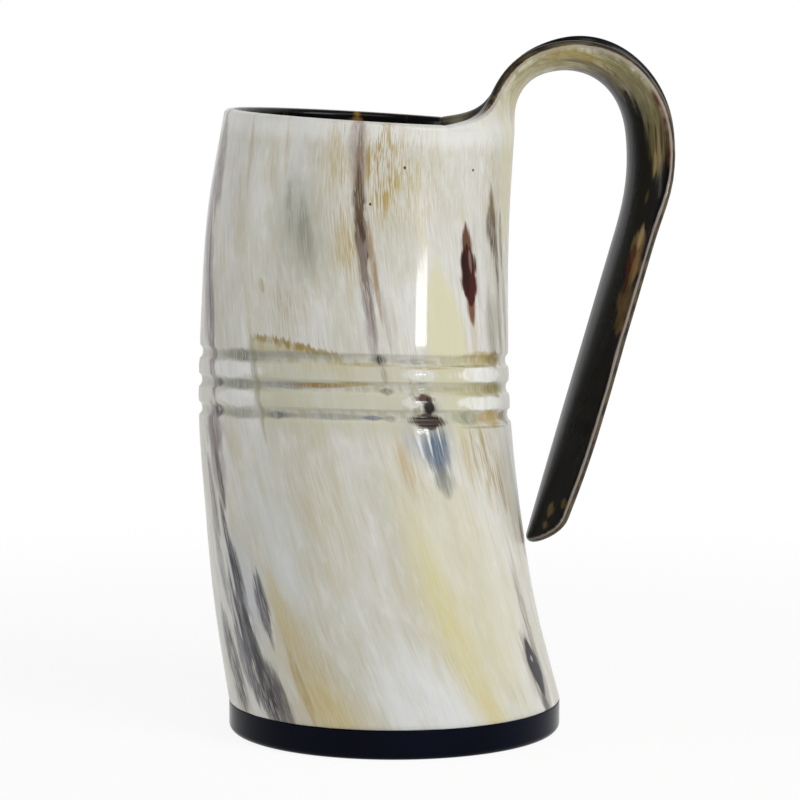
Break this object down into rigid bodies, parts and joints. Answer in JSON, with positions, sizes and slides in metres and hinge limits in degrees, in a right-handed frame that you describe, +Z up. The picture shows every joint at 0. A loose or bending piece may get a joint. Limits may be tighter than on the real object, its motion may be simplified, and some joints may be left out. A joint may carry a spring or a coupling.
{
  "type": "horn drinking cup",
  "caption": "Horn mug with a lipped rim, turned grooves round its middle, a handle strip bent over from the rim, and a black base plug.",
  "frame": {"origin": "centre of the flat resting face under the base plug", "axes": "+Z up along the plug's axis, +X towards the handle, the handle's mid-plane parallel to XZ"},
  "size_m": [0.1265, 0.087, 0.1809],
  "materials": {
    "horn": "polished ox horn: a natural plastic, pale with brown and black pigment",
    "black_lacquered_wood": "turned wood with polished black lacquer",
    "glue": "set resin glue",
    "seal": "poured food-safe resin, gloss"
  },
  "bodies": {
    "root": {"horn_body": "horn", "base_plug": "black_lacquered_wood", "glue_ring": "glue", "floor_seal": "seal"}
  },
  "joints": []
}
